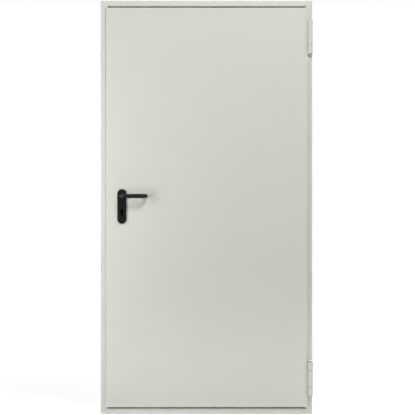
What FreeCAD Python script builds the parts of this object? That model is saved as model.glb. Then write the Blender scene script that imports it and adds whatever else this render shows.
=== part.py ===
"""Steel utility door: a double-skinned leaf with thin side laps, hung in a four-sided folded frame.

Millimetres. X runs along the wall towards the hinges, Y runs into the wall and Z is up.
The origin is on the underside of the threshold, midway between the jambs, in the plane of the wall's face.
"""

import FreeCAD, Part

import math
import os

from FreeCAD import Vector

# Frame
FRAME_WIDTH = 1030.0
FRAME_HEIGHT = 2010.0
FRAME_SHEET = 2.0
FRAME_BEND = 1.0
JAMB_FACE = 33.0
RAIL_FACE = 26.7
WALL_RETURN = 15.0
FLOOR_FLANGE = 42.0
STOP_WIDTH = 20.0
STOP_RETURN = 15.0
CORNER_JOINT = 0.4

# Leaf
LEAF_THICKNESS = 45.0
LEAF_SHEET = 0.8
LEAF_BEND = 0.6
LIP_OVERHANG = 13.0
LIP_STANDOFF = 8.0
HEM_WIDTH = 11.0
SIDE_CLEARANCE = 5.5
END_CLEARANCE = 6.5
BACK_LAP = 9.5
RAIL_SHEET = 1.2
RAIL_DEPTH = 32.0
SHEET_PLAY = 0.4

# Seals on the stop
SEAL_SPACE = 6.0
SEAL_WIDTH = 10.0
SEAL_BASE = 2.2
SEAL_PLAY = 0.6
SEAL_EDGE = 2.0

# Hinges
TOP_HINGE_INSET = 175.0
BOTTOM_HINGE_INSET = 172.5
AXIS_INSET = 10.3
BARREL_RADIUS = 12.0
BARREL_STANDOFF = 3.0
PIN_RADIUS = 6.0
PIN_PLAY = 0.08
END_KNUCKLE = 41.0
MIDDLE_KNUCKLE = 79.0
KNUCKLE_SPACE = 2.0
KNUCKLE_EDGE = 0.8
BEARING_RADIUS = 8.5
BEARING_PLAY = 0.3
CAP_HEIGHT = 10.0
CAP_EDGE = 6.5
WING_SHEET = 3.0
WING_REACH = 62.0
WING_TRIM = 2.0
WING_SPACE = 1.0
WING_PLAY = 0.3
PAD_WIDTH = 20.0
COLLAR_SPACE = 0.5
COLLAR_DRUM_HEIGHT = 4.0
COLLAR_DRUM_RADIUS = 10.4
COLLAR_RIM_HEIGHT = 5.0
COLLAR_HOLE = 1.5
COLLAR_HOLE_DEPTH = 3.5
COLLAR_HOLES = 6
COLLAR_TURN = 30.0

# Lock
BACKSET = 65.0
LEVER_HEIGHT = 1060.0
CYLINDER_SPACING = 72.0
CYLINDER_RADIUS = 8.5
CYLINDER_WEB = 10.0
CYLINDER_HEIGHT = 33.0
SKIN_CUT_PLAY = 2.5
FOREND_HEIGHT = 235.0
FOREND_WIDTH = 24.0
FOREND_SHEET = 3.0
FOREND_RISE = 95.0
FOREND_SCREW = 2.6
FOREND_SCREW_INSET = 10.0
LOCK_BODY_DEPTH = 92.0
LOCK_BODY_HEIGHT = 165.0
LOCK_BODY_THICKNESS = 15.0
LOCK_BODY_RISE = 48.0
BOLT_THICKNESS = 12.0
BOLT_LENGTH = 24.0
BOLT_PLAY = 0.4
LATCH_HEIGHT = 32.0
LATCH_RISE = 14.0
LATCH_BEVEL = 9.0
LATCH_NOSE = 3.0
DEAD_BOLT_HEIGHT = 36.0
DEAD_BOLT_DROP = 52.0
STRIKE_PLAY = 3.5

# Handle
PLATE_WIDTH = 44.0
PLATE_HEIGHT = 168.5
PLATE_THICKNESS = 9.0
PLATE_RISE = 34.0
PLATE_EDGE = 4.0
PLATE_COLLAR_RADIUS = 14.5
PLATE_COLLAR_HEIGHT = 2.0
LEVER_RADIUS = 10.5
LEVER_LENGTH = 127.0
LEVER_STANDOFF = 50.0
LEVER_BEND = 17.0
LEVER_RETURN_SPACE = 9.0
LEVER_END_EDGE = 3.0
LEVER_SKIRT_RADIUS = 12.0
LEVER_SKIRT_LENGTH = 5.0
LEVER_SKIRT_EDGE = 1.2
LEVER_PLAY = 0.3
SPINDLE_SIDE = 9.0
SPINDLE_GRIP = 24.0
SPINDLE_PLAY = 0.1
SPINDLE_BORE = 8.0

# Fixings through the rebate into the wall
FIXING_RADIUS = 4.5
FIXING_DEPTH = 10.0
LOCK_FIXING_INSET = 200.0
LOCK_FIXING_SPREAD = 600.0
HINGE_FIXING_INSET = 330.0
HINGE_FIXING_SPREAD = 500.0

# How far a cut runs past what it cuts, and how near to a plane an edge counts as lying in it
CUT_MARGIN = 1.0
SAME_PLANE = 0.01

# Planes and lines that the pieces share
FRAME_FRONT = -WALL_RETURN
JAMB_EDGE = FRAME_WIDTH / 2
REBATE_X = JAMB_EDGE - JAMB_FACE
STOP_X = REBATE_X - STOP_WIDTH
BODY_X = REBATE_X - SIDE_CLEARANCE
STILE_X = BODY_X - LEAF_SHEET
LIP_X = BODY_X + LIP_OVERHANG
LIP_BACK = FRAME_FRONT - LIP_STANDOFF
LIP_THICKNESS = 3 * LEAF_SHEET
LEAF_FRONT = LIP_BACK - LIP_THICKNESS
LEAF_BACK = LEAF_FRONT + LEAF_THICKNESS
LEAF_MIDDLE = (LEAF_FRONT + LEAF_BACK) / 2
LEAF_BOTTOM = RAIL_FACE + END_CLEARANCE
LEAF_TOP = FRAME_HEIGHT - RAIL_FACE - END_CLEARANCE
STOP_FRONT = LEAF_BACK + SEAL_SPACE
AXIS_X = JAMB_EDGE - AXIS_INSET
AXIS_Y = FRAME_FRONT - BARREL_STANDOFF - BARREL_RADIUS
HANDLE_X = -(BODY_X - BACKSET)
CYLINDER_Z = LEVER_HEIGHT - CYLINDER_SPACING
X_AXIS = Vector(1, 0, 0)
Y_AXIS = Vector(0, 1, 0)
Z_AXIS = Vector(0, 0, 1)


def box(low, high):
    """Block between two opposite corners."""
    size = Vector(*high) - Vector(*low)
    return Part.makeBox(size.x, size.y, size.z, Vector(*low))


def rod(radius, start, axis, length):
    """Round bar from a start point along an axis."""
    return Part.makeCylinder(radius, length, Vector(*start), axis)


def chain_edges(chain, place):
    """Edges along a chain of points; a pair in the chain is the middle and the end of an arc."""
    edges = []
    here = chain[0]
    for step in chain[1:]:
        if isinstance(step, tuple):
            middle, end = step
            edges.append(Part.Arc(place(here), place(middle), place(end)).toShape())
        else:
            end = step
            edges.append(Part.makeLine(place(here), place(end)))
        here = end
    return edges


def folded_face(path, sheet, bend, side, place):
    """Section of a sheet folded at right angles along a path.

    The path runs along one face of the sheet, which lies on the left of the path for side 1 and on the
    right for side -1. The bend is the inside radius. place puts a point of the section into space.
    """
    points = [Vector(u, v, 0) for u, v in path]
    runs = [(end - start).normalize() for start, end in zip(points, points[1:])]
    offsets = [Vector(-run.y, run.x, 0) * (side * sheet) for run in runs]
    near = [points[0]]
    far = [points[0] + offsets[0]]
    for index, corner in enumerate(points[1:-1]):
        arriving, leaving = runs[index], runs[index + 1]
        turn = side * (arriving.x * leaving.y - arriving.y * leaving.x)
        near_radius = bend + sheet if turn > 0 else bend
        far_radius = bend if turn > 0 else bend + sheet
        start = corner - arriving * near_radius
        end = corner + leaving * near_radius
        centre = corner + (leaving - arriving) * near_radius
        outward = (arriving - leaving).normalize()
        near += [start, (centre + outward * near_radius, end)]
        far += [start + offsets[index], (centre + outward * far_radius, end + offsets[index + 1])]
    near.append(points[-1])
    far.append(points[-1] + offsets[-1])
    edges = chain_edges(near, place) + chain_edges(far, place)
    edges.append(Part.makeLine(place(near[0]), place(far[0])))
    edges.append(Part.makeLine(place(near[-1]), place(far[-1])))
    return Part.Face(Part.Wire(Part.__sortEdges__(edges)))


def stadium(width, height, centre, place, depth):
    """Plate with half-round ends, drawn from its width and height and made as deep as the depth vector."""
    radius = width / 2
    reach = height / 2 - radius
    u, v = centre
    chain = [
        Vector(u - radius, v - reach, 0),
        Vector(u - radius, v + reach, 0),
        (Vector(u, v + reach + radius, 0), Vector(u + radius, v + reach, 0)),
        Vector(u + radius, v - reach, 0),
        (Vector(u, v - reach - radius, 0), Vector(u - radius, v - reach, 0)),
    ]
    return Part.Face(Part.Wire(chain_edges(chain, place))).extrude(depth)


def edges_at(shape, test):
    """Edges of a shape whose middle point passes a test."""
    return [edge for edge in shape.Edges if test(edge.CenterOfMass)]


def frame_path(face, first_leg_end):
    """Fold line of the frame: return to the wall, face, rebate, stop and the stop's own return."""
    inner = face + STOP_WIDTH
    return [
        (0, first_leg_end),
        (0, FRAME_FRONT),
        (face, FRAME_FRONT),
        (face, STOP_FRONT),
        (inner, STOP_FRONT),
        (inner, STOP_FRONT + STOP_RETURN),
    ]


def fixing_heights(inset, spread):
    """Heights of four fixings: one near each end of the jamb and two about its middle."""
    middle = FRAME_HEIGHT / 2
    return inset, middle - spread / 2, middle + spread / 2, FRAME_HEIGHT - inset


def make_jamb(sign, fixings):
    """Upright of the frame at the lock side (-1) or the hinge side (1), with its fixing holes."""
    path = frame_path(JAMB_FACE, 0)
    face = folded_face(path, FRAME_SHEET, FRAME_BEND, 1, lambda p: Vector(sign * (JAMB_EDGE - p.x), p.y, 0))
    jamb = face.extrude(Z_AXIS * FRAME_HEIGHT)
    for height in fixings:
        start = (sign * (REBATE_X - CUT_MARGIN), FIXING_DEPTH, height)
        jamb = jamb.cut(rod(FIXING_RADIUS, start, X_AXIS * sign, FRAME_SHEET + 2 * CUT_MARGIN))
    return jamb


def make_hinge_jamb():
    """Hinge side upright."""
    return make_jamb(1, fixing_heights(HINGE_FIXING_INSET, HINGE_FIXING_SPREAD))


def make_lock_jamb():
    """Lock side upright with the two holes that the latch and the dead bolt shoot into."""
    jamb = make_jamb(-1, fixing_heights(LOCK_FIXING_INSET, LOCK_FIXING_SPREAD))
    half = BOLT_THICKNESS / 2 + STRIKE_PLAY
    for height, rise in ((LATCH_HEIGHT, LATCH_RISE), (DEAD_BOLT_HEIGHT, -DEAD_BOLT_DROP)):
        middle = LEVER_HEIGHT + rise
        reach = height / 2 + STRIKE_PLAY
        low = (-REBATE_X - FRAME_SHEET - CUT_MARGIN, LEAF_MIDDLE - half, middle - reach)
        high = (-REBATE_X + CUT_MARGIN, LEAF_MIDDLE + half, middle + reach)
        jamb = jamb.cut(box(low, high))
    return jamb


def make_cross_rail(upper):
    """Head or threshold, butted between the jambs and cut back behind the rebate to clear their stops."""
    first_leg_end = 0 if upper else FRAME_FRONT + FLOOR_FLANGE
    half = REBATE_X - CORNER_JOINT

    def place(p):
        return Vector(-half, p.y, FRAME_HEIGHT - p.x if upper else p.x)

    path = frame_path(RAIL_FACE, first_leg_end)
    rail = folded_face(path, FRAME_SHEET, FRAME_BEND, 1, place).extrude(X_AXIS * (2 * half))
    for sign in (-1, 1):
        ends = sorted((sign * (STOP_X - CORNER_JOINT), sign * JAMB_EDGE))
        low = (ends[0], STOP_FRONT - CORNER_JOINT, -CUT_MARGIN)
        high = (ends[1], STOP_FRONT + STOP_RETURN + FLOOR_FLANGE, FRAME_HEIGHT + CUT_MARGIN)
        rail = rail.cut(box(low, high))
    return rail


def seal_face(place):
    """Section of a seal strip: a flat base with a soft bulb towards the leaf."""
    half = SEAL_WIDTH / 2
    tip = LEAF_BACK + SEAL_PLAY
    shoulder = STOP_FRONT - SEAL_BASE
    chain = [
        Vector(-half, STOP_FRONT, 0),
        Vector(half, STOP_FRONT, 0),
        Vector(half, shoulder, 0),
        (Vector(0, tip, 0), Vector(-half, shoulder, 0)),
        Vector(-half, STOP_FRONT, 0),
    ]
    return Part.Face(Part.Wire(chain_edges(chain, place)))


def make_jamb_seal(sign):
    """Seal strip on the stop of one jamb."""
    middle = sign * (REBATE_X - FRAME_BEND - SEAL_EDGE - SEAL_WIDTH / 2)
    low = RAIL_FACE + FRAME_BEND
    high = FRAME_HEIGHT - RAIL_FACE - FRAME_BEND
    face = seal_face(lambda p: Vector(middle + p.x, p.y, low))
    return face.extrude(Z_AXIS * (high - low))


def make_cross_seal(upper):
    """Seal strip on the stop of the head or the threshold, between the two jamb strips."""
    inset = RAIL_FACE + FRAME_BEND + SEAL_EDGE + SEAL_WIDTH / 2
    middle = FRAME_HEIGHT - inset if upper else inset
    half = STOP_X - CORNER_JOINT
    face = seal_face(lambda p: Vector(-half, p.y, middle + p.x))
    return face.extrude(X_AXIS * (2 * half))


def hinge_middle(upper):
    """Height of the middle of a hinge."""
    return FRAME_HEIGHT - TOP_HINGE_INSET if upper else BOTTOM_HINGE_INSET


def hinge_outward(upper):
    """Direction along the axis from a hinge's middle to its domed end."""
    return 1 if upper else -1


def barrel(low, high):
    """Round body of a knuckle with softened ends."""
    tube = rod(BARREL_RADIUS, (AXIS_X, AXIS_Y, low), Z_AXIS, high - low)
    ends = edges_at(tube, lambda c: min(abs(c.z - low), abs(c.z - high)) < SAME_PLANE)
    return tube.makeFillet(KNUCKLE_EDGE, ends)


def pin_bore(low, high):
    """Bore for the pin through whatever lies between two heights."""
    start = (AXIS_X, AXIS_Y, low - CUT_MARGIN)
    return rod(PIN_RADIUS + PIN_PLAY, start, Z_AXIS, high - low + 2 * CUT_MARGIN)


def hinge_ends(upper):
    """Heights where the pin of a hinge starts under the cap and where it ends in the other knuckle."""
    middle = hinge_middle(upper)
    outward = hinge_outward(upper)
    inner = MIDDLE_KNUCKLE / 2 + KNUCKLE_SPACE
    capped = middle + outward * (inner + END_KNUCKLE - CAP_HEIGHT)
    plain = middle - outward * (inner + END_KNUCKLE)
    return capped, plain


def make_frame_knuckles(upper):
    """The two end knuckles of a hinge, each on a pad that is welded to the face of the jamb."""
    middle = hinge_middle(upper)
    outward = hinge_outward(upper)
    inner = MIDDLE_KNUCKLE / 2 + KNUCKLE_SPACE
    spans = (
        (middle + outward * inner, middle + outward * (inner + END_KNUCKLE - CAP_HEIGHT)),
        (middle - outward * inner, middle - outward * (inner + END_KNUCKLE)),
    )
    knuckles = []
    for span in spans:
        low, high = sorted(span)
        pad_low = (AXIS_X - PAD_WIDTH / 2, AXIS_Y, low + KNUCKLE_EDGE)
        pad_high = (AXIS_X + PAD_WIDTH / 2, FRAME_FRONT, high - KNUCKLE_EDGE)
        knuckle = barrel(low, high).fuse(box(pad_low, pad_high)).removeSplitter()
        knuckles.append(knuckle.cut(pin_bore(low, high)))
    return Part.makeCompound(knuckles)


def wing_plate(upper, play):
    """Plate of a hinge that lies behind the lap, as tall as the knuckles, grown by a play for its slot."""
    low, high = sorted(hinge_ends(upper))
    start = (AXIS_X - WING_REACH, LIP_BACK, low + WING_TRIM - play)
    end = (AXIS_X - BARREL_RADIUS - WING_SPACE, LIP_BACK + WING_SHEET + play, high - WING_TRIM + play)
    return box(start, end)


def make_leaf_knuckle(upper):
    """Middle knuckle of a hinge with the wing that runs behind the lap and through the edge of the leaf."""
    middle = hinge_middle(upper)
    low = middle - MIDDLE_KNUCKLE / 2
    high = middle + MIDDLE_KNUCKLE / 2
    neck_start = (AXIS_X - BARREL_RADIUS - 2 * WING_SPACE, LIP_BACK, low + KNUCKLE_EDGE)
    neck_end = (AXIS_X, LIP_BACK + WING_SHEET, high - KNUCKLE_EDGE)
    knuckle = barrel(low, high).fuse([box(neck_start, neck_end), wing_plate(upper, 0)]).removeSplitter()
    return knuckle.cut(pin_bore(low, high))


def make_bearing_rings(upper):
    """Two rings that carry the middle knuckle between the end ones."""
    middle = hinge_middle(upper)
    rings = []
    for sign in (-1, 1):
        inner = middle + sign * (MIDDLE_KNUCKLE / 2 + BEARING_PLAY)
        outer = middle + sign * (MIDDLE_KNUCKLE / 2 + KNUCKLE_SPACE)
        low, high = sorted((inner, outer))
        ring = rod(BEARING_RADIUS, (AXIS_X, AXIS_Y, low), Z_AXIS, high - low)
        rings.append(ring.cut(pin_bore(low, high)))
    return Part.makeCompound(rings)


def make_pin(upper):
    """Hinge pin; the lower one runs on through the spring ring."""
    capped, plain = hinge_ends(upper)
    if not upper:
        plain += COLLAR_SPACE + COLLAR_DRUM_HEIGHT + COLLAR_RIM_HEIGHT
    low, high = sorted((capped, plain))
    return rod(PIN_RADIUS, (AXIS_X, AXIS_Y, low), Z_AXIS, high - low)


def make_cap(upper):
    """Domed cap on the outer end of a hinge."""
    capped = hinge_ends(upper)[0]
    outward = hinge_outward(upper)
    tip = capped + outward * CAP_HEIGHT
    cap = rod(BARREL_RADIUS, (AXIS_X, AXIS_Y, capped), Z_AXIS * outward, CAP_HEIGHT)
    return cap.makeFillet(CAP_EDGE, edges_at(cap, lambda c: abs(c.z - tip) < SAME_PLANE))


def make_spring_ring():
    """Ring that winds the closing spring: a drum with radial holes for the setting pin, under a plain rim."""
    low = hinge_ends(False)[1] + COLLAR_SPACE
    seam = low + COLLAR_DRUM_HEIGHT
    high = seam + COLLAR_RIM_HEIGHT
    drum = rod(COLLAR_DRUM_RADIUS, (AXIS_X, AXIS_Y, low), Z_AXIS, COLLAR_DRUM_HEIGHT)
    ring = drum.fuse(barrel(seam, high)).removeSplitter().cut(pin_bore(low, high))
    for index in range(COLLAR_HOLES):
        angle = math.radians(COLLAR_TURN) + 2 * math.pi * index / COLLAR_HOLES
        radial = Vector(math.cos(angle), math.sin(angle), 0)
        centre = Vector(AXIS_X, AXIS_Y, (low + seam) / 2)
        start = centre + radial * (COLLAR_DRUM_RADIUS - COLLAR_HOLE_DEPTH)
        ring = ring.cut(Part.makeCylinder(COLLAR_HOLE, 2 * COLLAR_HOLE_DEPTH, start, radial))
    return ring


def make_spring_spacer():
    """Thin disc between the lower hinge's top knuckle and its spring ring."""
    low = hinge_ends(False)[1]
    disc = rod(BEARING_RADIUS, (AXIS_X, AXIS_Y, low), Z_AXIS, COLLAR_SPACE)
    return disc.cut(pin_bore(low, low + COLLAR_SPACE))


def cylinder_cut(play, start, end):
    """Profile-cylinder hole between two depths, grown by a play on every side."""
    radius = CYLINDER_RADIUS + play
    half = CYLINDER_WEB / 2 + play
    foot = CYLINDER_Z - (CYLINDER_HEIGHT - CYLINDER_RADIUS - CYLINDER_WEB / 2)
    depth = end - start
    hole = rod(radius, (HANDLE_X, start, CYLINDER_Z), Y_AXIS, depth)
    hole = hole.fuse(box((HANDLE_X - half, start, foot), (HANDLE_X + half, end, CYLINDER_Z)))
    return hole.fuse(rod(half, (HANDLE_X, start, foot), Y_AXIS, depth)).removeSplitter()


def handle_cuts(start, end):
    """Openings in a skin for the spindle and the cylinder."""
    spindle = rod(LEVER_RADIUS, (HANDLE_X, start, LEVER_HEIGHT), Y_AXIS, end - start)
    return spindle.fuse(cylinder_cut(SKIN_CUT_PLAY, start, end))


def make_front_skin():
    """Front sheet of the leaf, hemmed round the flange of the edge profile along both sides."""
    hem = LIP_THICKNESS / 2
    slot = LEAF_SHEET / 2
    middle = LEAF_FRONT + hem
    centre = LIP_X - hem
    inner = LIP_X - HEM_WIDTH

    def point(x, y):
        return Vector(x, y, 0)

    chain = [
        point(-inner, middle + hem),
        point(-centre, middle + hem),
        (point(-LIP_X, middle), point(-centre, middle - hem)),
        point(centre, middle - hem),
        (point(LIP_X, middle), point(centre, middle + hem)),
        point(inner, middle + hem),
        point(inner, middle + slot),
        point(centre, middle + slot),
        (point(centre + slot, middle), point(centre, middle - slot)),
        point(-centre, middle - slot),
        (point(-centre - slot, middle), point(-centre, middle + slot)),
        point(-inner, middle + slot),
        point(-inner, middle + hem),
    ]
    edges = chain_edges(chain, lambda p: Vector(p.x, p.y, LEAF_BOTTOM))
    skin = Part.Face(Part.Wire(edges)).extrude(Z_AXIS * (LEAF_TOP - LEAF_BOTTOM))
    return skin.cut(handle_cuts(LEAF_FRONT - LEAF_SHEET, LEAF_FRONT + 2 * LEAF_SHEET))


def make_back_skin():
    """Back sheet of the leaf, folded a little way over both edge profiles."""
    path = [
        (-BODY_X, LEAF_BACK - BACK_LAP),
        (-BODY_X, LEAF_BACK),
        (BODY_X, LEAF_BACK),
        (BODY_X, LEAF_BACK - BACK_LAP),
    ]
    face = folded_face(path, LEAF_SHEET, LEAF_BEND, -1, lambda p: Vector(p.x, p.y, LEAF_BOTTOM))
    skin = face.extrude(Z_AXIS * (LEAF_TOP - LEAF_BOTTOM))
    return skin.cut(handle_cuts(LEAF_BACK - 2 * LEAF_SHEET, LEAF_BACK + LEAF_SHEET))


def make_stile(sign):
    """Folded edge profile of the leaf: a flange held in the hem and the wall of the edge."""
    flange = LIP_X - LIP_THICKNESS / 2 - SHEET_PLAY
    path = [
        (flange, LIP_BACK - LEAF_SHEET),
        (STILE_X, LIP_BACK - LEAF_SHEET),
        (STILE_X, LEAF_BACK - LEAF_SHEET - LEAF_BEND),
    ]
    face = folded_face(path, LEAF_SHEET, LEAF_BEND, 1, lambda p: Vector(sign * p.x, p.y, LEAF_BOTTOM))
    return face.extrude(Z_AXIS * (LEAF_TOP - LEAF_BOTTOM))


def make_hinge_stile():
    """Hinge side edge profile with a slot for the wing of each hinge."""
    stile = make_stile(1)
    for upper in (True, False):
        stile = stile.cut(wing_plate(upper, WING_PLAY))
    return stile


def forend_outline(play, start, depth):
    """Lock face plate with half-round ends, drawn in the edge of the leaf."""
    middle = LEVER_HEIGHT + FOREND_RISE - FOREND_HEIGHT / 2
    width = FOREND_WIDTH + 2 * play
    height = FOREND_HEIGHT + 2 * play
    return stadium(width, height, (LEAF_MIDDLE, middle), lambda p: Vector(start, p.x, p.y), X_AXIS * depth)


def make_lock_stile():
    """Lock side edge profile with the opening for the lock's face plate."""
    return make_stile(-1).cut(forend_outline(SHEET_PLAY, -BODY_X, 2 * LEAF_SHEET + CUT_MARGIN))


def bolt_block(height, rise, length, play):
    """Block of a bolt in the lock, flush with the face plate, grown by a play across its section."""
    middle = LEVER_HEIGHT + rise
    half = BOLT_THICKNESS / 2 + play
    reach = height / 2 + play
    low = (-STILE_X, LEAF_MIDDLE - half, middle - reach)
    high = (-STILE_X + length, LEAF_MIDDLE + half, middle + reach)
    return box(low, high)


def bolt_passages():
    """Passages of the latch and the dead bolt through the face plate into the lock body."""
    length = BOLT_LENGTH + BOLT_PLAY
    latch = bolt_block(LATCH_HEIGHT, LATCH_RISE, length, BOLT_PLAY)
    return latch.fuse(bolt_block(DEAD_BOLT_HEIGHT, -DEAD_BOLT_DROP, length, BOLT_PLAY))


def make_forend():
    """Lock face plate with its bolt openings, two fixing screw holes and the cylinder's screw hole."""
    plate = forend_outline(0, -STILE_X, FOREND_SHEET).cut(bolt_passages())
    top = LEVER_HEIGHT + FOREND_RISE - FOREND_SCREW_INSET
    bottom = LEVER_HEIGHT + FOREND_RISE - FOREND_HEIGHT + FOREND_SCREW_INSET
    for height in (top, bottom, CYLINDER_Z - CYLINDER_RADIUS - CYLINDER_WEB):
        start = (-STILE_X - CUT_MARGIN, LEAF_MIDDLE, height)
        plate = plate.cut(rod(FOREND_SCREW, start, X_AXIS, FOREND_SHEET + 2 * CUT_MARGIN))
    return plate


def make_lock_body():
    """Lock body behind the face plate, open for the spindle, the cylinder and both bolts."""
    top = LEVER_HEIGHT + LOCK_BODY_RISE
    half = LOCK_BODY_THICKNESS / 2
    start = -STILE_X + FOREND_SHEET
    low = (start, LEAF_MIDDLE - half, top - LOCK_BODY_HEIGHT)
    high = (start + LOCK_BODY_DEPTH, LEAF_MIDDLE + half, top)
    body = box(low, high).cut(bolt_passages())
    front = LEAF_MIDDLE - LOCK_BODY_THICKNESS
    back = LEAF_MIDDLE + LOCK_BODY_THICKNESS
    body = body.cut(rod(SPINDLE_BORE, (HANDLE_X, front, LEVER_HEIGHT), Y_AXIS, back - front))
    return body.cut(cylinder_cut(0, front, back))


def make_latch():
    """Latch drawn back flush with the face plate, bevelled on the side that meets the frame."""
    latch = bolt_block(LATCH_HEIGHT, LATCH_RISE, BOLT_LENGTH, 0)
    edge = LEAF_MIDDLE + BOLT_THICKNESS / 2
    low = LEVER_HEIGHT + LATCH_RISE - LATCH_HEIGHT / 2
    corners = [
        Vector(-STILE_X, LEAF_MIDDLE - BOLT_THICKNESS / 2 + LATCH_NOSE, low),
        Vector(-STILE_X, edge, low),
        Vector(-STILE_X + LATCH_BEVEL, edge, low),
    ]
    wedge = Part.Face(Part.makePolygon(corners + corners[:1])).extrude(Z_AXIS * LATCH_HEIGHT)
    return latch.cut(wedge)


def make_dead_bolt():
    """Dead bolt drawn back flush with the face plate."""
    return bolt_block(DEAD_BOLT_HEIGHT, -DEAD_BOLT_DROP, BOLT_LENGTH, 0)


def both_sides(outside):
    """A handle piece and its mirror image on the other face of the leaf."""
    return outside, outside.mirror(Vector(0, LEAF_MIDDLE, 0), Y_AXIS)


def make_plate():
    """Handle plate on the outside: rounded ends and edges, with a collar round the passage of the lever."""
    front = LEAF_FRONT - PLATE_THICKNESS
    middle = LEVER_HEIGHT + PLATE_RISE - PLATE_HEIGHT / 2
    centre = (HANDLE_X, middle)
    depth = Y_AXIS * -PLATE_THICKNESS
    plate = stadium(PLATE_WIDTH, PLATE_HEIGHT, centre, lambda p: Vector(p.x, LEAF_FRONT, p.y), depth)
    plate = plate.makeFillet(PLATE_EDGE, edges_at(plate, lambda c: abs(c.y - front) < SAME_PLANE))
    collar_start = (HANDLE_X, front + PLATE_EDGE, LEVER_HEIGHT)
    plate = plate.fuse(rod(PLATE_COLLAR_RADIUS, collar_start, -Y_AXIS, PLATE_EDGE + PLATE_COLLAR_HEIGHT))
    passage_start = (HANDLE_X, LEAF_FRONT + CUT_MARGIN, LEVER_HEIGHT)
    passage_length = PLATE_THICKNESS + PLATE_COLLAR_HEIGHT + 2 * CUT_MARGIN
    return plate.removeSplitter().cut(rod(LEVER_RADIUS + LEVER_PLAY, passage_start, -Y_AXIS, passage_length))


def make_lever():
    """Outside lever: one round bar bent into a U, with a skirt at the plate and a socket for the spindle."""
    inner = LEAF_FRONT - SHEET_PLAY
    grip = LEAF_FRONT - LEVER_STANDOFF
    tip = LEAF_FRONT - LEVER_RETURN_SPACE
    far = LEVER_LENGTH - LEVER_RADIUS
    swing = LEVER_BEND * (1 - math.sqrt(0.5))
    chain = [
        Vector(0, inner, 0),
        Vector(0, grip + LEVER_BEND, 0),
        (Vector(swing, grip + swing, 0), Vector(LEVER_BEND, grip, 0)),
        Vector(far - LEVER_BEND, grip, 0),
        (Vector(far - swing, grip + swing, 0), Vector(far, grip + LEVER_BEND, 0)),
        Vector(far, tip, 0),
    ]
    path = Part.Wire(chain_edges(chain, lambda p: Vector(HANDLE_X + p.x, p.y, LEVER_HEIGHT)))
    ring = Part.Wire(Part.makeCircle(LEVER_RADIUS, Vector(HANDLE_X, inner, LEVER_HEIGHT), Y_AXIS))
    lever = path.makePipeShell([ring], True, False)
    lever = lever.makeFillet(LEVER_END_EDGE, edges_at(lever, lambda c: abs(c.y - tip) < SAME_PLANE))
    skirt_start = LEAF_FRONT - PLATE_THICKNESS - PLATE_COLLAR_HEIGHT - LEVER_PLAY
    skirt_end = skirt_start - LEVER_SKIRT_LENGTH
    skirt = rod(LEVER_SKIRT_RADIUS, (HANDLE_X, skirt_start, LEVER_HEIGHT), -Y_AXIS, LEVER_SKIRT_LENGTH)
    rim = edges_at(skirt, lambda c: abs(c.y - skirt_end) < SAME_PLANE)
    lever = lever.fuse(skirt.makeFillet(LEVER_SKIRT_EDGE, rim)).removeSplitter()
    half = SPINDLE_SIDE / 2 + SPINDLE_PLAY
    low = (HANDLE_X - half, inner - SPINDLE_GRIP - SPINDLE_PLAY, LEVER_HEIGHT - half)
    high = (HANDLE_X + half, inner + CUT_MARGIN, LEVER_HEIGHT + half)
    return lever.cut(box(low, high))


def make_spindle():
    """Square spindle from socket to socket."""
    half = SPINDLE_SIDE / 2
    start = LEAF_FRONT - SHEET_PLAY - SPINDLE_GRIP
    end = LEAF_BACK + SHEET_PLAY + SPINDLE_GRIP
    return box((HANDLE_X - half, start, LEVER_HEIGHT - half), (HANDLE_X + half, end, LEVER_HEIGHT + half))


def make_leaf_rail(upper):
    """Channel that closes the top or the bottom of the leaf between its skins."""
    edge = LEAF_TOP if upper else LEAF_BOTTOM
    inward = -1 if upper else 1
    half = STILE_X - LEAF_SHEET - SHEET_PLAY
    front = LEAF_FRONT + LEAF_SHEET
    back = LEAF_BACK - LEAF_SHEET
    path = [(RAIL_DEPTH, front), (0, front), (0, back), (RAIL_DEPTH, back)]
    face = folded_face(path, RAIL_SHEET, LEAF_BEND, -1, lambda p: Vector(-half, p.y, edge + inward * p.x))
    return face.extrude(X_AXIS * (2 * half))


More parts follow.
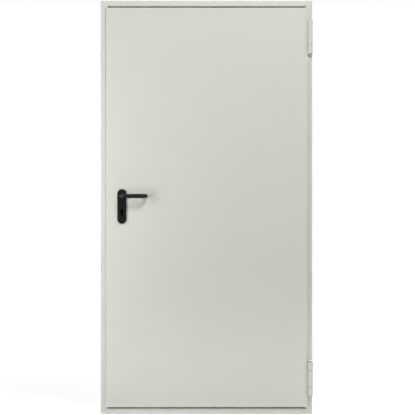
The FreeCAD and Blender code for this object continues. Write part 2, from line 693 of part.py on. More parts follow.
def build():
    """Every piece of the door by its name."""
    outside_plate, inside_plate = both_sides(make_plate())
    plate_front = LEAF_FRONT - PLATE_THICKNESS
    keyhole = cylinder_cut(0, plate_front - CUT_MARGIN, LEAF_FRONT + CUT_MARGIN)
    outside_lever, inside_lever = both_sides(make_lever())
    return {
        "lock_jamb": make_lock_jamb(),
        "hinge_jamb": make_hinge_jamb(),
        "frame_head": make_cross_rail(True),
        "threshold": make_cross_rail(False),
        "lock_jamb_seal": make_jamb_seal(-1),
        "hinge_jamb_seal": make_jamb_seal(1),
        "head_seal": make_cross_seal(True),
        "threshold_seal": make_cross_seal(False),
        "top_hinge_frame_knuckles": make_frame_knuckles(True),
        "top_hinge_leaf_knuckle": make_leaf_knuckle(True),
        "top_hinge_bearing_rings": make_bearing_rings(True),
        "top_hinge_pin": make_pin(True),
        "top_hinge_cap": make_cap(True),
        "bottom_hinge_frame_knuckles": make_frame_knuckles(False),
        "bottom_hinge_leaf_knuckle": make_leaf_knuckle(False),
        "bottom_hinge_bearing_rings": make_bearing_rings(False),
        "bottom_hinge_pin": make_pin(False),
        "bottom_hinge_cap": make_cap(False),
        "bottom_hinge_spring_ring": make_spring_ring(),
        "bottom_hinge_spacer": make_spring_spacer(),
        "leaf_front_skin": make_front_skin(),
        "leaf_back_skin": make_back_skin(),
        "leaf_lock_stile": make_lock_stile(),
        "leaf_hinge_stile": make_hinge_stile(),
        "leaf_top_rail": make_leaf_rail(True),
        "leaf_bottom_rail": make_leaf_rail(False),
        "lock_forend": make_forend(),
        "lock_body": make_lock_body(),
        "lock_latch": make_latch(),
        "lock_dead_bolt": make_dead_bolt(),
        "outside_handle_plate": outside_plate.cut(keyhole),
        "inside_handle_plate": inside_plate,
        "outside_lever": outside_lever,
        "inside_lever": inside_lever,
        "lever_spindle": make_spindle(),
    }


os.makedirs("parts", exist_ok=True)
for name, shape in build().items():
    shape.exportStep(f"parts/{name}.step")
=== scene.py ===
"""Looks of a steel utility door: its finishes, small fixings, welds and a plain studio.

Everything is in metres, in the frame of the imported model: X runs along the wall towards the hinges,
Y runs into the wall and Z is up.
"""

import logging
import math
from dataclasses import dataclass, field
from enum import Enum

import bpy
import numpy as np
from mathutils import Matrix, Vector


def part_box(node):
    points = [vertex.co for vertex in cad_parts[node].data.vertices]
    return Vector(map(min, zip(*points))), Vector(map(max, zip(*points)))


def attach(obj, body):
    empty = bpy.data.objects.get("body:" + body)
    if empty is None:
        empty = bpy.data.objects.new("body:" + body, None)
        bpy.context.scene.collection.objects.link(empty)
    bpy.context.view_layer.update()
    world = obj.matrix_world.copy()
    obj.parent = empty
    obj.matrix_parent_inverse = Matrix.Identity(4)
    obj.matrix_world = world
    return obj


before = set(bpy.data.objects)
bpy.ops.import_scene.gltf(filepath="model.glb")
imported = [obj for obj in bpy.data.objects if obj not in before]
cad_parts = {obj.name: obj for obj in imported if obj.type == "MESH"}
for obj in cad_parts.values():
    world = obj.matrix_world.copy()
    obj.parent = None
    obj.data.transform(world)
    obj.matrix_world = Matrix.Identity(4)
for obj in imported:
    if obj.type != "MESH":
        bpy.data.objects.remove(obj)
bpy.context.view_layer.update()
MILLIMETRE = 0.001
LOG = logging.getLogger("utility_door")

# Sockets of the colour form of the Mix node
MIX_FACTOR = 0
MIX_FIRST = 6
MIX_SECOND = 7
MIX_RESULT = 2

# Rounding of sharp edges by modifiers
EASE_ANGLE = math.radians(35)
EASE_SEGMENTS = 2
MERGE_DISTANCE = 0.001 * MILLIMETRE

# Directions across the three pairs of flats of a hexagon
HEX_TURNS = np.radians((0, 60, 120)).reshape(-1, 1, 1)

Colour = tuple[float, float, float, float]


class Value:
    """A node's output that can stand in Python arithmetic; each operation adds one Math node."""

    def __init__(self, sheet: "NodeSheet", node: bpy.types.Node, output: int | str = 0) -> None:
        """Keeps what is needed to link the output.

        Args:
            sheet: Sheet that the node is drawn on.
            node: The node.
            output: Name or number of the output that is meant.
        """
        self.sheet = sheet
        self.node = node
        self.output = output

    @property
    def socket(self) -> bpy.types.NodeSocket:
        """The output socket itself."""
        return self.node.outputs[self.output]

    def out(self, output: int | str) -> "Value":
        """Another output of the same node."""
        return Value(self.sheet, self.node, output)

    def __add__(self, other: "Value | float") -> "Value":
        """Sum of the two."""
        return self.sheet.math("ADD", self, other)

    def __sub__(self, other: "Value | float") -> "Value":
        """What is left of this one."""
        return self.sheet.math("SUBTRACT", self, other)

    def __rsub__(self, other: "Value | float") -> "Value":
        """What is left of the other one."""
        return self.sheet.math("SUBTRACT", other, self)

    def __mul__(self, other: "Value | float") -> "Value":
        """Product of the two."""
        return self.sheet.math("MULTIPLY", self, other)

    def __lt__(self, other: "Value | float") -> "Value":
        """1 where this one is the smaller, and 0 elsewhere."""
        return self.sheet.math("LESS_THAN", self, other)

    def __gt__(self, other: "Value | float") -> "Value":
        """1 where this one is the greater, and 0 elsewhere."""
        return self.sheet.math("GREATER_THAN", self, other)

    def __abs__(self) -> "Value":
        """This one without its sign."""
        return self.sheet.math("ABSOLUTE", self)

    __radd__ = __add__
    __rmul__ = __mul__


class NodeSheet:
    """Node tree of a material or a world, drawn from Python."""

    def __init__(self, owner: bpy.types.Material | bpy.types.World) -> None:
        """Empties the owner's node tree.

        Args:
            owner: Material or world whose nodes are drawn.
        """
        owner.use_nodes = True
        self.tree = owner.node_tree
        self.tree.nodes.clear()

    def add(self, kind: str, settings: dict | None = None, sockets: dict | None = None) -> Value:
        """Adds a node of any kind.

        Args:
            kind: Type name of the node.
            settings: Properties of the node, set before its sockets.
            sockets: Values or links by the name or number of the input.

        Returns:
            The first output of the node.
        """
        node = self.tree.nodes.new(kind)
        for key, setting in (settings or {}).items():
            setattr(node, key, setting)
        for key, value in (sockets or {}).items():
            if isinstance(value, Value):
                self.tree.links.new(value.socket, node.inputs[key])
            else:
                node.inputs[key].default_value = value
        return Value(self, node)

    def math(self, operation: str, first: Value | float, second: Value | float = 0.0) -> Value:
        """Math node of one value or of two."""
        return self.add("ShaderNodeMath", {"operation": operation}, {0: first, 1: second})

    def place(self, stretch: tuple[float, float, float] = (1.0, 1.0, 1.0)) -> Value:
        """Object coordinates, stretched by a factor along each axis."""
        where = self.add("ShaderNodeTexCoord").out("Object")
        return self.add("ShaderNodeMapping", {"vector_type": "POINT"}, {"Vector": where, "Scale": stretch})

    def noise(self, where: Value, scale: float, detail: float = 2.0) -> Value:
        """Smooth noise from 0 to 1 with about so many lumps in a metre."""
        return self.add("ShaderNodeTexNoise", None, {"Vector": where, "Scale": scale, "Detail": detail})

    def mix(self, factor: Value, first: Colour, second: Colour) -> Value:
        """Colour between two others."""
        sockets = {MIX_FACTOR: factor, MIX_FIRST: first, MIX_SECOND: second}
        return self.add("ShaderNodeMix", {"data_type": "RGBA"}, sockets).out(MIX_RESULT)

    def clamp(self, value: Value) -> Value:
        """A value held between 0 and 1."""
        return self.add("ShaderNodeClamp", None, {"Value": value})

    def bump(self, height: Value, distance: float, under: Value | None = None) -> Value:
        """Normal tilted by a height field.

        Args:
            height: Height from 0 to 1.
            distance: What a height of 1 stands for.
            under: Normal that is tilted, where it is not the plain one.

        Returns:
            The tilted normal.
        """
        sockets = {"Height": height, "Distance": distance}
        if under is not None:
            sockets["Normal"] = under
        return self.add("ShaderNodeBump", None, sockets)

    def seen(self) -> Value:
        """1 for rays from the camera, also by way of gloss or glass, and 0 for all others."""
        path = self.add("ShaderNodeLightPath")
        return path.out("Is Camera Ray") + path.out("Is Glossy Ray") + path.out("Is Transmission Ray")


def shaded(colour: Colour, share: float) -> Colour:
    """A colour made lighter or darker by a share of itself."""
    red, green, blue, alpha = colour
    return (red * (1 + share), green * (1 + share), blue * (1 + share), alpha)


def tones(factor: Value, colour: Colour, share: float) -> Value:
    """A colour that runs from a share darker to a share lighter as the factor goes from 0 to 1."""
    return factor.sheet.mix(factor, shaded(colour, -share), shaded(colour, share))


def spread(factor: Value, middle: float, width: float) -> Value:
    """A value that runs over a width about its middle as the factor goes from 0 to 1."""
    return factor * width + (middle - width / 2)


@dataclass(frozen=True)
class Finish:
    """What every finish has: a name, and a material that is made on first use."""

    name: str

    def material(self) -> bpy.types.Material:
        """The finish as a material.

        Returns:
            The material, the same one at each call.
        """
        known = bpy.data.materials.get(self.name)
        if known is not None:
            return known
        made = bpy.data.materials.new(self.name)
        sheet = NodeSheet(made)
        sheet.add("ShaderNodeOutputMaterial", None, {"Surface": self.shade(sheet)})
        return made

    def shade(self, sheet: NodeSheet) -> Value:
        """Draws the finish on a sheet and hands back its shader."""
        raise NotImplementedError


@dataclass(frozen=True)
class PowderCoat(Finish):
    """Baked powder paint with a fine orange peel, on sheet steel that is not quite flat."""

    colour: Colour = (0.655, 0.652, 0.598, 1.0)
    tone_share: float = 0.012
    tone_scale: float = 4.0
    roughness: float = 0.42
    roughness_spread: float = 0.10
    peel_scale: float = 620.0
    peel_height: float = 0.03 * MILLIMETRE
    wave_scale: float = 2.4
    wave_detail: float = 1.0
    wave_height: float = 0.5 * MILLIMETRE

    def shade(self, sheet: NodeSheet) -> Value:
        """Paint whose tone drifts slowly, with peel in its gloss and its normal.

        Args:
            sheet: Sheet of the material.

        Returns:
            The shader.
        """
        where = sheet.place()
        peel = sheet.noise(where, self.peel_scale)
        tone = sheet.noise(where, self.tone_scale)
        wave = sheet.noise(where, self.wave_scale, self.wave_detail)
        sockets = {
            "Base Color": tones(tone, self.colour, self.tone_share),
            "Roughness": spread(peel, self.roughness, self.roughness_spread),
            "Normal": sheet.bump(peel, self.peel_height, sheet.bump(wave, self.wave_height)),
        }
        return sheet.add("ShaderNodeBsdfPrincipled", None, sockets)


@dataclass(frozen=True)
class BlackNylon(Finish):
    """Moulded black nylon with a fine satin grain, left rough where it lies inside the leaf."""

    colour: Colour = (0.0060, 0.0060, 0.0058, 1.0)
    tone_share: float = 0.25
    tone_scale: float = 45.0
    tone_detail: float = 4.0
    roughness: float = 0.25
    roughness_spread: float = 0.10
    grain_scale: float = 1800.0
    grain_height: float = 0.008 * MILLIMETRE
    gloss: float = 0.13
    back_roughness: float = 0.6
    leaf_middle: float = -2.9 * MILLIMETRE
    back_reach: float = 22.6 * MILLIMETRE

    def shade(self, sheet: NodeSheet) -> Value:
        """Near black with faint flow marks, patches in its gloss, a grain and a dull back.

        Args:
            sheet: Sheet of the material.

        Returns:
            The shader.
        """
        where = sheet.place()
        grain = sheet.noise(where, self.grain_scale)
        tone = sheet.noise(where, self.tone_scale, self.tone_detail)
        depth = sheet.add("ShaderNodeSeparateXYZ", None, {"Vector": where}).out("Y")
        hidden = abs(depth - self.leaf_middle) < self.back_reach
        satin = spread(tone, self.roughness, self.roughness_spread)
        sockets = {
            "Base Color": tones(tone, self.colour, self.tone_share),
            "Roughness": satin + hidden * self.back_roughness,
            "Specular IOR Level": self.gloss,
            "Normal": sheet.bump(grain, self.grain_height),
        }
        return sheet.add("ShaderNodeBsdfPrincipled", None, sockets)


class Grain(Enum):
    """Direction in which a metal was worked, as how tightly its marks are packed along each axis."""

    DRAWN_UP = (1.0, 1.0, 0.03)
    TURNED = (0.02, 0.02, 1.0)


@dataclass(frozen=True)
class WorkedSteel(Finish):
    """Bare or zinc-plated steel with the marks of how it was worked."""

    colour: Colour = (0.60, 0.60, 0.58, 1.0)
    grain: Grain = Grain.DRAWN_UP
    tone_share: float = 0.10
    cloud_scale: float = 60.0
    detail: float = 3.0
    roughness: float = 0.34
    roughness_spread: float = 0.16
    mark_scale: float = 2200.0
    mark_height: float = 0.008 * MILLIMETRE

    def tint(self, sheet: NodeSheet) -> Value:
        """Colour of the metal, with the clouds of its plating."""
        cloud = sheet.noise(sheet.place(), self.cloud_scale, self.detail)
        return tones(cloud, self.colour, self.tone_share)

    def shade(self, sheet: NodeSheet) -> Value:
        """Metal with fine marks along its grain.

        Args:
            sheet: Sheet of the material.

        Returns:
            The shader.
        """
        marks = sheet.noise(sheet.place(self.grain.value), self.mark_scale, self.detail)
        sockets = {
            "Base Color": self.tint(sheet),
            "Metallic": 1.0,
            "Roughness": spread(marks, self.roughness, self.roughness_spread),
            "Normal": sheet.bump(marks, self.mark_height),
        }
        return sheet.add("ShaderNodeBsdfPrincipled", None, sockets)


@dataclass(frozen=True)
class BandedSteel(WorkedSteel):
    """Worked steel that is plated above a seam and painted dark under it, as painted shade under the rim.
    """

    seam: float = 0.0
    # Near black colour under the seam: painted shade in the groove under the rim
    painted_shade_colour: Colour = (0.24, 0.24, 0.24, 1.0)

    def tint(self, sheet: NodeSheet) -> Value:
        """Colour of the metal, plated above the seam and painted dark below it as painted shade."""
        height = sheet.add("ShaderNodeSeparateXYZ", None, {"Vector": sheet.place()}).out("Z")
        return sheet.mix(height > self.seam, self.painted_shade_colour, self.colour)


@dataclass(frozen=True)
class SealRubber(Finish):
    """Extruded black rubber with a dull skin."""

    colour: Colour = (0.020, 0.020, 0.021, 1.0)
    tone_share: float = 0.3
    bloom_scale: float = 25.0
    bloom_detail: float = 4.0
    roughness: float = 0.66
    roughness_spread: float = 0.14
    skin_scale: float = 1400.0
    skin_height: float = 0.02 * MILLIMETRE

    def shade(self, sheet: NodeSheet) -> Value:
        """Dark rubber with a patchy bloom and a finely pored skin.

        Args:
            sheet: Sheet of the material.

        Returns:
            The shader.
        """
        where = sheet.place()
        skin = sheet.noise(where, self.skin_scale)
        bloom = sheet.noise(where, self.bloom_scale, self.bloom_detail)
        sockets = {
            "Base Color": tones(bloom, self.colour, self.tone_share),
            "Roughness": spread(bloom, self.roughness, self.roughness_spread),
            "Normal": sheet.bump(skin, self.skin_height),
        }
        return sheet.add("ShaderNodeBsdfPrincipled", None, sockets)


@dataclass(frozen=True)
class StudioFloor(Finish):
    """Pale studio floor that looks white where it is lit and keeps the shadow of what stands on it."""

    colour: Colour = (0.80, 0.80, 0.80, 1.0)
    glow: float = 0.50
    fade_start: float = 0.8
    fade_length: float = 1.4

    def shade(self, sheet: NodeSheet) -> Value:
        """Matt floor that glows to the camera, and fades to white away from the door.

        Args:
            sheet: Sheet of the material.

        Returns:
            The shader.
        """
        matt = sheet.add("ShaderNodeBsdfDiffuse", None, {"Color": self.colour})
        glow = sheet.add("ShaderNodeEmission", None, {"Strength": self.glow})
        near = sheet.add("ShaderNodeAddShader", None, {0: matt, 1: glow})
        far = sheet.add("ShaderNodeEmission", None, {"Strength": 1.0})
        length = sheet.add("ShaderNodeVectorMath", {"operation": "LENGTH"}, {0: sheet.place()})
        fade = sheet.clamp((length.out("Value") - self.fade_start) * (1 / self.fade_length))
        white = sheet.add("ShaderNodeMixShader", None, {0: fade, 1: near, 2: far})
        return sheet.add("ShaderNodeMixShader", None, {0: sheet.seen(), 1: matt, 2: white})


LEAF_PAINT = PowderCoat("leaf_powder_coat")
# The leaf's paint, painted a little lighter as painted light, so that the frame shows as bright as the leaf
LIGHTENED_FRAME_PAINT = PowderCoat(
    "frame_powder_coat_lightened",
    colour=(0.680, 0.677, 0.622, 1.0),
    wave_height=0.2 * MILLIMETRE,
)
HINGE_PAINT = PowderCoat("hinge_powder_coat", wave_height=0.05 * MILLIMETRE, peel_height=0.04 * MILLIMETRE)
NYLON = BlackNylon("black_nylon")
LEVER_NYLON = BlackNylon("polished_nylon", roughness=0.17, roughness_spread=0.06, gloss=0.22)
ZINC = WorkedSteel("zinc_plated_steel")
TURNED = WorkedSteel("turned_steel", colour=(0.52, 0.51, 0.49, 1.0), grain=Grain.TURNED, roughness=0.28)
OILED = WorkedSteel("oiled_steel", colour=(0.10, 0.10, 0.095, 1.0), grain=Grain.TURNED, roughness=0.38)
BLACKENED = WorkedSteel(
    "blackened_steel",
    colour=(0.05, 0.05, 0.05, 1.0),
    grain=Grain.TURNED,
    roughness=0.42,
)
# Lock case painted near black: painted shade, so that the keyhole shows dark
LOCK_CASE_PAINTED_SHADE = WorkedSteel("lock_case_painted_shade", colour=(0.03, 0.03, 0.03, 1.0), roughness=0.5)
# Spring ring: bright plated rim, with painted shade on the drum under it
RING = BandedSteel(
    "ring_steel",
    colour=(0.76, 0.76, 0.75, 1.0),
    grain=Grain.TURNED,
    roughness=0.24,
    roughness_spread=0.10,
    seam=259.5 * MILLIMETRE,
)
RUBBER = SealRubber("seal_rubber_skin")


@dataclass
class MeshDraft:
    """Points and faces of one piece, gathered from closed tubes before its mesh is made."""

    points: list[np.ndarray] = field(default_factory=list)
    faces: list[list[int]] = field(default_factory=list)
    sharp_angle: float = math.radians(38)

    def add_tube(self, grid: np.ndarray) -> None:
        """Adds a closed tube with a flat cap on each end.

        Args:
            grid: Points as rings by points round a ring by 3. Each ring runs anticlockwise as seen from
                ahead, so that the faces point outwards.
        """
        rings, around = grid.shape[:2]
        start = sum(len(points) for points in self.points)
        index = start + np.arange(rings * around).reshape(rings, around)
        beside = np.roll(index, -1, axis=1)
        quads = np.stack((index[:-1], beside[:-1], beside[1:], index[1:]), axis=-1)
        self.faces += quads.reshape(-1, quads.shape[-1]).tolist()
        self.faces += [index[0, ::-1].tolist(), index[-1].tolist()]
        self.points.append(grid.reshape(-1, grid.shape[-1]))

    def make(self, name: str, finish: Finish) -> bpy.types.Object:
        """Makes the piece.

        Args:
            name: Name of the object.
            finish: Finish that covers it.

        Returns:
            The object, at the origin.
        """
        mesh = bpy.data.meshes.new(name)
        mesh.from_pydata(np.concatenate(self.points).tolist(), [], self.faces)
        mesh.polygons.foreach_set("use_smooth", np.ones(len(mesh.polygons), bool))
        mesh.set_sharp_from_angle(angle=self.sharp_angle)
        mesh.materials.append(finish.material())
        piece = bpy.data.objects.new(name, mesh)
        bpy.context.scene.collection.objects.link(piece)
        return piece


class Recess(Enum):
    """Recess for the driver in the head of a screw."""

    CROSS = "cross"
    HEX = "hex"


@dataclass
class Screw:
    """Head of a screw on a flat face or on a round bar."""

    point: Vector
    out: Vector
    across: Vector
    radius: float = 4.6 * MILLIMETRE
    rim: float = 0.3 * MILLIMETRE
    dome: float = 1.2 * MILLIMETRE
    recess: Recess = Recess.CROSS
    recess_reach: float = 2.7 * MILLIMETRE
    recess_width: float = 1.1 * MILLIMETRE
    recess_depth: float = 0.9 * MILLIMETRE
    recess_slope: float = 0.25 * MILLIMETRE
    sink: float = 0.3 * MILLIMETRE
    bar_radius: float = math.inf
    rings: int = 44
    around: int = 120

    def recess_share(self, a: np.ndarray, b: np.ndarray) -> np.ndarray:
        """Share of the recess depth at points of the head.

        Inside the outline the share is 1, and it falls to 0 over the slope. The cross is the union of two
        bars. The hex is where the largest of three slanted distances from the middle stays under its reach.

        Args:
            a: Distances across the head.
            b: Distances along the head.

        Returns:
            Shares from 0 to 1.
        """
        if self.recess is Recess.CROSS:
            half = self.recess_width / 2
            upright = np.minimum(half - np.abs(a), self.recess_reach - np.abs(b))
            level = np.minimum(half - np.abs(b), self.recess_reach - np.abs(a))
            inside = np.maximum(upright, level)
        else:
            across_flats = np.abs(a * np.cos(HEX_TURNS) + b * np.sin(HEX_TURNS))
            inside = self.recess_reach - across_flats.max(axis=0)
        return np.clip(inside / self.recess_slope, 0, 1)

    def surface(self) -> np.ndarray:
        """Points of the head in rings from its rim to its middle.

        With u from 0 at the rim to 1 at the middle and v once round, the distance from the middle is
        r = radius (1 - u), and the height is rim + dome (1 - (r / radius)^2), less the recess. On a bar the
        surface also falls by R - sqrt(R^2 - a^2), where R is the radius of the bar. One more ring below the
        rim sinks the edge into the seat.

        Returns:
            Grid of points.
        """
        u = np.linspace(0, 1, self.rings, endpoint=False).reshape(-1, 1)
        v = np.linspace(0, 2 * np.pi, self.around, endpoint=False).reshape(1, -1)
        r = self.radius * (1 - u)
        a = r * np.cos(v)
        b = r * np.sin(v)
        height = self.rim + self.dome * (1 - (r / self.radius) ** 2) * np.ones_like(v)
        height = height - self.recess_depth * self.recess_share(a, b)
        a = np.concatenate((a[:1], a))
        b = np.concatenate((b[:1], b))
        height = np.concatenate((np.full_like(height[:1], -self.sink), height))
        if math.isfinite(self.bar_radius):
            height = height - (self.bar_radius - np.sqrt(self.bar_radius ** 2 - a ** 2))
        along = self.out.cross(self.across)
        axes = np.array((self.across, along, self.out))
        return np.array(self.point) + np.stack((a, b, height), axis=-1) @ axes


@dataclass
class Bead:
    """Run of weld between two points."""

    start: Vector
    end: Vector
    radius: float = 2.2 * MILLIMETRE
    ripple: float = 0.10
    pitch: float = 1.7 * MILLIMETRE
    lag: float = 0.9
    end_power: float = 10.0
    around: int = 14
    steps_in_pitch: int = 6

    def surface(self) -> np.ndarray:
        """Points of the run in rings along it.

        With s along the run and v once round, the radius is R e(s) (1 + k cos(2 pi s / pitch - lag cos v)):
        overlapping crescents of depth k. e(s) = sqrt(1 - |2 s / length - 1|^p) rounds off both ends.

        Returns:
            Grid of points.
        """
        run = np.array(self.end - self.start)
        length = float(np.linalg.norm(run))
        ahead = run / length
        steps = max(int(length / self.pitch * self.steps_in_pitch), self.steps_in_pitch)
        t = np.linspace(0, 1, steps + 2)[1:-1].reshape(-1, 1)
        v = np.linspace(0, 2 * np.pi, self.around, endpoint=False).reshape(1, -1)
        ends = np.sqrt(1 - np.abs(2 * t - 1) ** self.end_power)
        crescents = 1 + self.ripple * np.cos(2 * np.pi * t * length / self.pitch - self.lag * np.cos(v))
        radius = self.radius * ends * crescents
        side = np.cross(ahead, np.roll(ahead, 1))
        side = side / np.linalg.norm(side)
        lift = np.cross(ahead, side)
        round_points = np.cos(v)[..., None] * side + np.sin(v)[..., None] * lift
        return np.array(self.start) + t[..., None] * run + radius[..., None] * round_points


def dress(nodes: tuple[str, ...], finish: Finish) -> None:
    """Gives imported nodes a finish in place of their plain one.

    Args:
        nodes: Names of the nodes.
        finish: Finish that covers them.
    """
    for name in nodes:
        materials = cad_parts[name].data.materials
        materials.clear()
        materials.append(finish.material())
        LOG.info("dressed %s with %s", name, finish.name)


def ease_edges(nodes: tuple[str, ...], width: float) -> None:
    """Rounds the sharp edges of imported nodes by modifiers, with their meshes left alone.

    Args:
        nodes: Names of the nodes.
        width: Width of the rounding.
    """
    for name in nodes:
        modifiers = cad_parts[name].modifiers
        weld = modifiers.new("weld", "WELD")
        weld.merge_threshold = MERGE_DISTANCE
        bevel = modifiers.new("bevel", "BEVEL")
        bevel.width = width
        bevel.segments = EASE_SEGMENTS
        bevel.limit_method = "ANGLE"
        bevel.angle_limit = EASE_ANGLE
        bevel.harden_normals = True


def fit(piece: bpy.types.Object, body: str) -> None:
    """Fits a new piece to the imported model.

    Args:
        piece: The piece.
        body: Body that carries it.
    """
    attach(piece, body)
    LOG.info("made %s on %s", piece.name, body)


def fit_screw(screw: Screw, name: str, finish: Finish, body: str) -> None:
    """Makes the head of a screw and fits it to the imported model.

    Args:
        screw: The screw.
        name: Name of the piece.
        finish: Finish that covers it.
        body: Body that carries it.
    """
    draft = MeshDraft()
    draft.add_tube(screw.surface())
    fit(draft.make(name, finish), body)


@dataclass
class FrameSurround:
    """Folded frame: two jambs, head, threshold, their seals and the welds of the corners."""

    steel: tuple[str, ...] = ("lock_jamb", "hinge_jamb", "frame_head", "threshold")
    seals: tuple[str, ...] = ("lock_jamb_seal", "hinge_jamb_seal", "head_seal", "threshold_seal")
    sheet: float = 2.0 * MILLIMETRE
    weld_inset: float = 4.0 * MILLIMETRE
    rebate_inset: float = 5.0 * MILLIMETRE
    face_weld: float = 15.0 * MILLIMETRE
    rebate_weld: float = 24.0 * MILLIMETRE

    def build(self) -> None:
        """Welds on the hidden side of the four corners, along the face and along the rebate."""
        draft = MeshDraft()
        for rail, inward in (("frame_head", -1), ("threshold", 1)):
            low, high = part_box(rail)
            outer = high.z if inward < 0 else low.z
            seal_low, seal_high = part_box("head_seal" if inward < 0 else "threshold_seal")
            rebate = seal_high.z if inward < 0 else seal_low.z
            face_back = low.y + self.sheet
            for end in (low.x, high.x):
                start = Vector((end, face_back, outer + inward * self.weld_inset))
                draft.add_tube(Bead(start, start + Vector((0, 0, inward * self.face_weld))).surface())
                start = Vector((end, face_back + self.weld_inset, rebate - inward * self.rebate_inset))
                draft.add_tube(Bead(start, start + Vector((0, self.rebate_weld, 0))).surface())
        fit(draft.make("frame_corner_welds", LIGHTENED_FRAME_PAINT), "frame")

    def dress(self) -> None:
        """Paint on the steel and rubber on the seals."""
        dress(self.steel, LIGHTENED_FRAME_PAINT)
        dress(self.seals, RUBBER)


@dataclass
class Leaf:
    """Double-skinned leaf with its folded edges and its end channels."""

    steel: tuple[str, ...] = (
        "leaf_front_skin",
        "leaf_back_skin",
        "leaf_lock_stile",
        "leaf_hinge_stile",
        "leaf_top_rail",
        "leaf_bottom_rail",
    )

    def dress(self) -> None:
        """Paint all over."""
        dress(self.steel, LEAF_PAINT)


@dataclass
class Hinge:
    """One three-knuckle hinge and the welds that hold its pads to the jamb."""

    prefix: str
    extra: dict[str, Finish] = field(default_factory=dict)
    painted: tuple[str, ...] = ("frame_knuckles", "leaf_knuckle", "cap")
    bare: tuple[str, ...] = ("bearing_rings", "pin")
    pad_width: float = 20.0 * MILLIMETRE
    knuckle_space: float = 2.0 * MILLIMETRE
    weld_inset: float = 2.5 * MILLIMETRE
    corner_inset: float = 0.8 * MILLIMETRE

    def build(self) -> None:
        """A run of weld along each side of both pads."""
        pin_low, pin_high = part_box(f"{self.prefix}_pin")
        axis = (pin_low.x + pin_high.x) / 2
        frame_low, frame_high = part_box(f"{self.prefix}_frame_knuckles")
        leaf_low, leaf_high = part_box(f"{self.prefix}_leaf_knuckle")
        jamb_low, jamb_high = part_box("hinge_jamb")
        pads = (
            (frame_low.z, leaf_low.z - self.knuckle_space),
            (leaf_high.z + self.knuckle_space, frame_high.z),
        )
        inner = Vector((axis - self.pad_width / 2, jamb_low.y, 0))
        outer = Vector((jamb_high.x - self.corner_inset, jamb_low.y + self.corner_inset, 0))
        draft = MeshDraft()
        for low, high in pads:
            for edge in (inner, outer):
                start = edge + Vector((0, 0, low + self.weld_inset))
                end = edge + Vector((0, 0, high - self.weld_inset))
                draft.add_tube(Bead(start, end).surface())
        fit(draft.make(f"{self.prefix}_welds", HINGE_PAINT), "frame")

    def dress(self) -> None:
        """Paint on the knuckles and bare steel where they turn."""
        dress(tuple(f"{self.prefix}_{name}" for name in self.painted), HINGE_PAINT)
        dress(tuple(f"{self.prefix}_{name}" for name in self.bare), TURNED)
        for name, finish in self.extra.items():
            dress((f"{self.prefix}_{name}",), finish)


@dataclass
class LockSet:
    """Mortice lock: face plate, body, latch and dead bolt."""

    plated: tuple[str, ...] = ("lock_forend", "lock_latch", "lock_dead_bolt")
    edge: float = 0.4 * MILLIMETRE
    screw_inset: float = 10.0 * MILLIMETRE

    def build(self) -> None:
        """The two screws of the face plate."""
        low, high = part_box("lock_forend")
        middle = (low.y + high.y) / 2
        for name, height in (("upper", high.z - self.screw_inset), ("lower", low.z + self.screw_inset)):
            screw = Screw(Vector((low.x, middle, height)), Vector((-1, 0, 0)), Vector((0, 1, 0)))
            fit_screw(screw, f"forend_{name}_screw", ZINC, "leaf")

    def dress(self) -> None:
        """A case painted near black as painted shade seen through the keyhole, and zinc plate with eased
        edges on what shows.
        """
        dress(("lock_body",), LOCK_CASE_PAINTED_SHADE)
        dress(self.plated, ZINC)
        ease_edges(self.plated, self.edge)


@dataclass
class HandleSet:
    """Lever handles on both faces of the leaf, their plates, their spindle and their screws."""

    plates: tuple[str, str] = ("outside_handle_plate", "inside_handle_plate")
    levers: tuple[str, str] = ("outside_lever", "inside_lever")
    collar_height: float = 2.0 * MILLIMETRE
    screw_heights: tuple[float, float] = (1.0255, 0.9445)
    neck_radius: float = 10.5 * MILLIMETRE
    grub_radius: float = 2.6 * MILLIMETRE
    grub_rim: float = 0.45 * MILLIMETRE
    grub_reach: float = 17.5 * MILLIMETRE
    hex_reach: float = 1.3 * MILLIMETRE
    hex_depth: float = 0.4 * MILLIMETRE
    hex_slope: float = 0.1 * MILLIMETRE

    def build(self) -> None:
        """Two screws in the inside plate and a grub screw under the neck of each lever."""
        plate_low, plate_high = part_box("inside_handle_plate")
        middle = (plate_low.x + plate_high.x) / 2
        face = plate_high.y - self.collar_height
        for name, height in zip(("upper", "lower"), self.screw_heights):
            screw = Screw(Vector((middle, face, height)), Vector((0, 1, 0)), Vector((1, 0, 0)))
            fit_screw(screw, f"inside_plate_{name}_screw", ZINC, "leaf")
        spindle_low, spindle_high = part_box("lever_spindle")
        axis = (spindle_low.z + spindle_high.z) / 2
        outside_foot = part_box("outside_lever")[1].y
        inside_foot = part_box("inside_lever")[0].y
        necks = (
            ("outside", outside_foot - self.grub_reach),
            ("inside", inside_foot + self.grub_reach),
        )
        for side, depth in necks:
            seat = Vector((middle, depth, axis - self.neck_radius))
            grub = Screw(
                seat,
                Vector((0, 0, -1)),
                Vector((1, 0, 0)),
                radius=self.grub_radius,
                rim=self.grub_rim,
                dome=0.0,
                recess=Recess.HEX,
                recess_reach=self.hex_reach,
                recess_depth=self.hex_depth,
                recess_slope=self.hex_slope,
                bar_radius=self.neck_radius,
            )
            fit_screw(grub, f"{side}_lever_grub_screw", BLACKENED, "lever")

    def dress(self) -> None:
        """Black nylon, polished on the levers, with a plated spindle."""
        dress(self.plates, NYLON)
        dress(self.levers, LEVER_NYLON)
        dress(("lever_spindle",), ZINC)


@dataclass
class Lamp:
    """Soft rectangular lamp that faces a point of the door."""

    name: str
    place: Vector
    aim: Vector
    width: float
    height: float
    watts: float
    in_gloss: bool = True
    beam: float = math.pi

    def hang(self) -> None:
        """Puts the lamp into the scene, out of the camera's sight."""
        light = bpy.data.lights.new(self.name, "AREA")
        light.shape = "RECTANGLE"
        light.spread = self.beam
        light.size = self.width
        light.size_y = self.height
        light.energy = self.watts
        lamp = bpy.data.objects.new(self.name, light)
        lamp.location = self.place
        lamp.rotation_mode = "QUATERNION"
        lamp.rotation_quaternion = (self.aim - self.place).to_track_quat("-Z", "Y")
        lamp.visible_camera = False
        lamp.visible_glossy = self.in_gloss
        bpy.context.scene.collection.objects.link(lamp)


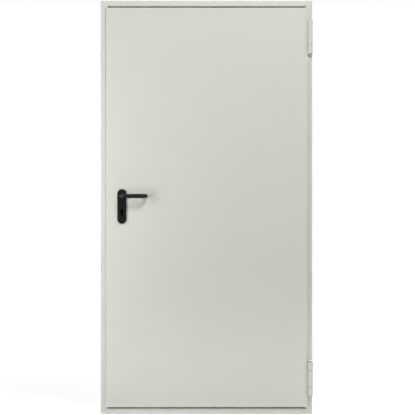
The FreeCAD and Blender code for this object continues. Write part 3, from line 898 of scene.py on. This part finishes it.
@dataclass
class Studio:
    """Plain floor, soft light and a camera that looks straight at the door."""

    camera_distance: float = 8.2
    camera_place: tuple[float, float] = (0.0049, 1.0046)
    view_span: float = 2.021
    sensor: float = 36.0
    ambient: float = 0.07
    floor_radius: float = 40.0
    floor_drop: float = 0.5 * MILLIMETRE
    floor_points: int = 96
    lamps: tuple[Lamp, ...] = (
        Lamp(
            "key_lamp",
            place=Vector((0.55, -2.2, 3.2)),
            aim=Vector((-0.1, 0, 1.2)),
            width=0.7,
            height=0.6,
            watts=41.6,
        ),
        Lamp(
            "left_lamp",
            place=Vector((-1.55, -0.95, 1.05)),
            aim=Vector((-0.3, 0, 1.05)),
            width=0.4,
            height=1.4,
            watts=17.8,
        ),
        Lamp(
            "right_lamp",
            place=Vector((2.0, -1.05, 0.95)),
            aim=Vector((0.4, 0, 0.95)),
            width=0.2,
            height=2.1,
            watts=11.2,
        ),
        Lamp(
            "front_lamp",
            place=Vector((0, -6.5, 1.0)),
            aim=Vector((0, 0, 1.0)),
            width=4.0,
            height=3.0,
            watts=24.0,
            in_gloss=False,
        ),
        Lamp(
            "low_lamp",
            place=Vector((0.2, -1.35, 0.12)),
            aim=Vector((0.2, 0, 0.19)),
            width=1.4,
            height=0.18,
            watts=0.30,
            in_gloss=False,
            beam=math.radians(40),
        ),
        Lamp(
            "back_lamp",
            place=Vector((1.6, 3.4, 2.6)),
            aim=Vector((0, 0, 1.0)),
            width=2.4,
            height=2.4,
            watts=120.0,
        ),
    )

    def light(self) -> None:
        """Hangs the lamps and lights the room evenly, with a white background for the camera."""
        for lamp in self.lamps:
            lamp.hang()
        world = bpy.data.worlds.new("studio")
        bpy.context.scene.world = world
        sheet = NodeSheet(world)
        even = sheet.add("ShaderNodeBackground", None, {"Strength": self.ambient})
        white = sheet.add("ShaderNodeBackground", None, {"Strength": 1.0})
        for background in (even, white):
            background.node.inputs["Color"].default_value = (1.0, 1.0, 1.0, 1.0)
        mixed = sheet.add("ShaderNodeMixShader", None, {0: sheet.seen(), 1: even, 2: white})
        sheet.add("ShaderNodeOutputWorld", None, {"Surface": mixed})
        bpy.context.scene.view_settings.view_transform = "Standard"

    def lay_floor(self) -> None:
        """Lays a round floor just under the threshold, as a flat disc r from 0 to its radius."""
        v = np.linspace(0, 2 * np.pi, self.floor_points, endpoint=False)
        rim = np.stack((np.cos(v), np.sin(v), np.zeros_like(v)), axis=-1) * self.floor_radius
        rim[:, 2] = -self.floor_drop
        mesh = bpy.data.meshes.new("studio_floor")
        mesh.from_pydata(rim.tolist(), [], [list(range(len(rim)))])
        mesh.materials.append(StudioFloor("studio_floor").material())
        floor = bpy.data.objects.new("studio_floor", mesh)
        bpy.context.scene.collection.objects.link(floor)

    def set_camera(self) -> None:
        """Stands the camera in front of the face of the frame, level and square to it."""
        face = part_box("frame_head")[0].y
        data = bpy.data.cameras.new("camera")
        data.sensor_width = self.sensor
        data.lens = self.sensor * self.camera_distance / self.view_span
        data.clip_end = 2 * self.floor_radius
        camera = bpy.data.objects.new("camera", data)
        across, height = self.camera_place
        camera.location = (across, face - self.camera_distance, height)
        camera.rotation_euler = (math.pi / 2, 0, 0)
        bpy.context.scene.collection.objects.link(camera)
        bpy.context.scene.camera = camera


def main() -> None:
    """Builds and dresses the door piece by piece and sets up the studio."""
    logging.basicConfig(level=logging.INFO, format="%(name)s: %(message)s")
    top_hinge = Hinge("top_hinge")
    bottom_hinge = Hinge("bottom_hinge", {"spring_ring": RING, "spacer": TURNED, "bearing_rings": OILED})
    surround = FrameSurround()
    lock = LockSet()
    handles = HandleSet()
    for assembly in (surround, top_hinge, bottom_hinge, lock, handles):
        assembly.build()
    for assembly in (surround, Leaf(), top_hinge, bottom_hinge, lock, handles):
        assembly.dress()
    studio = Studio()
    studio.light()
    studio.lay_floor()
    studio.set_camera()


if __name__ == "__main__":
    main()
